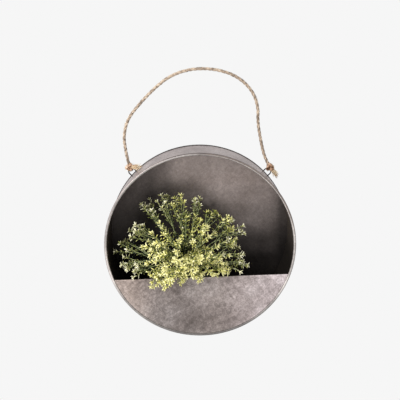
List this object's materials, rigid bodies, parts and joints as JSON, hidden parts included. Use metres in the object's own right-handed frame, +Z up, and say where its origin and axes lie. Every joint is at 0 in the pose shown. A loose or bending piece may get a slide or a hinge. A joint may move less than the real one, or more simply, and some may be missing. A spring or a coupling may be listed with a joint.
{
  "type": "hanging wall planter",
  "caption": "Round sheet-metal wall planter with an open alcove, a half-moon pocket, a knotted rope handle and a leafy artificial plant.",
  "frame": {"origin": "centre of the back plate's outer face, which lies against the wall", "axes": "+X to the right as seen from the front, +Y into the wall along the drum's axis, +Z up; the open front faces -Y"},
  "size_m": [0.3604, 0.1542, 0.5064],
  "materials": {
    "zinc_sheet": "dull, mottled galvanised sheet",
    "loop_wire": "dark wire",
    "jute": "twisted natural fibre",
    "dry_foam": "matt, porous",
    "plant_stem": "satin",
    "plant_leaf": "satin, light green to blue-green"
  },
  "bodies": {
    "drum": {"back_plate": "zinc_sheet", "rim_band": "zinc_sheet", "front_panel": "zinc_sheet", "loop_left": "loop_wire", "loop_right": "loop_wire", "knot_left": "jute", "knot_right": "jute"},
    "handle": {"rope": "jute"},
    "plant": {"foam_block": "dry_foam", "stem_crown": "plant_stem", "sprig_01": "plant_leaf", "sprig_02": "plant_leaf", "sprig_03": "plant_leaf", "sprig_04": "plant_leaf", "sprig_05": "plant_leaf", "sprig_06": "plant_leaf", "sprig_07": "plant_leaf", "sprig_08": "plant_leaf", "sprig_09": "plant_leaf", "sprig_10": "plant_leaf", "sprig_11": "plant_leaf", "sprig_12": "plant_leaf", "sprig_13": "plant_leaf", "sprig_14": "plant_leaf", "sprig_15": "plant_leaf", "sprig_16": "plant_leaf", "sprig_17": "plant_leaf", "sprig_18": "plant_leaf", "sprig_19": "plant_leaf", "sprig_20": "plant_leaf", "sprig_21": "plant_leaf", "sprig_22": "plant_leaf", "sprig_23": "plant_leaf", "sprig_24": "plant_leaf", "sprig_25": "plant_leaf", "sprig_26": "plant_leaf", "sprig_27": "plant_leaf", "sprig_28": "plant_leaf", "sprig_29": "plant_leaf", "sprig_30": "plant_leaf"}
  },
  "joints": [
    {"name": "handle_swing", "type": "hinge", "parent": "drum", "child": "handle", "pos_m": [-0.13142, -0.012, 0.13914], "axis": [0.9994, 0, -0.0349], "range_deg": [-120, 80]},
    {"name": "plant_lift", "type": "slide", "parent": "drum", "child": "plant", "axis": [0, 0, 1], "range_m": [0, 0.05]}
  ]
}
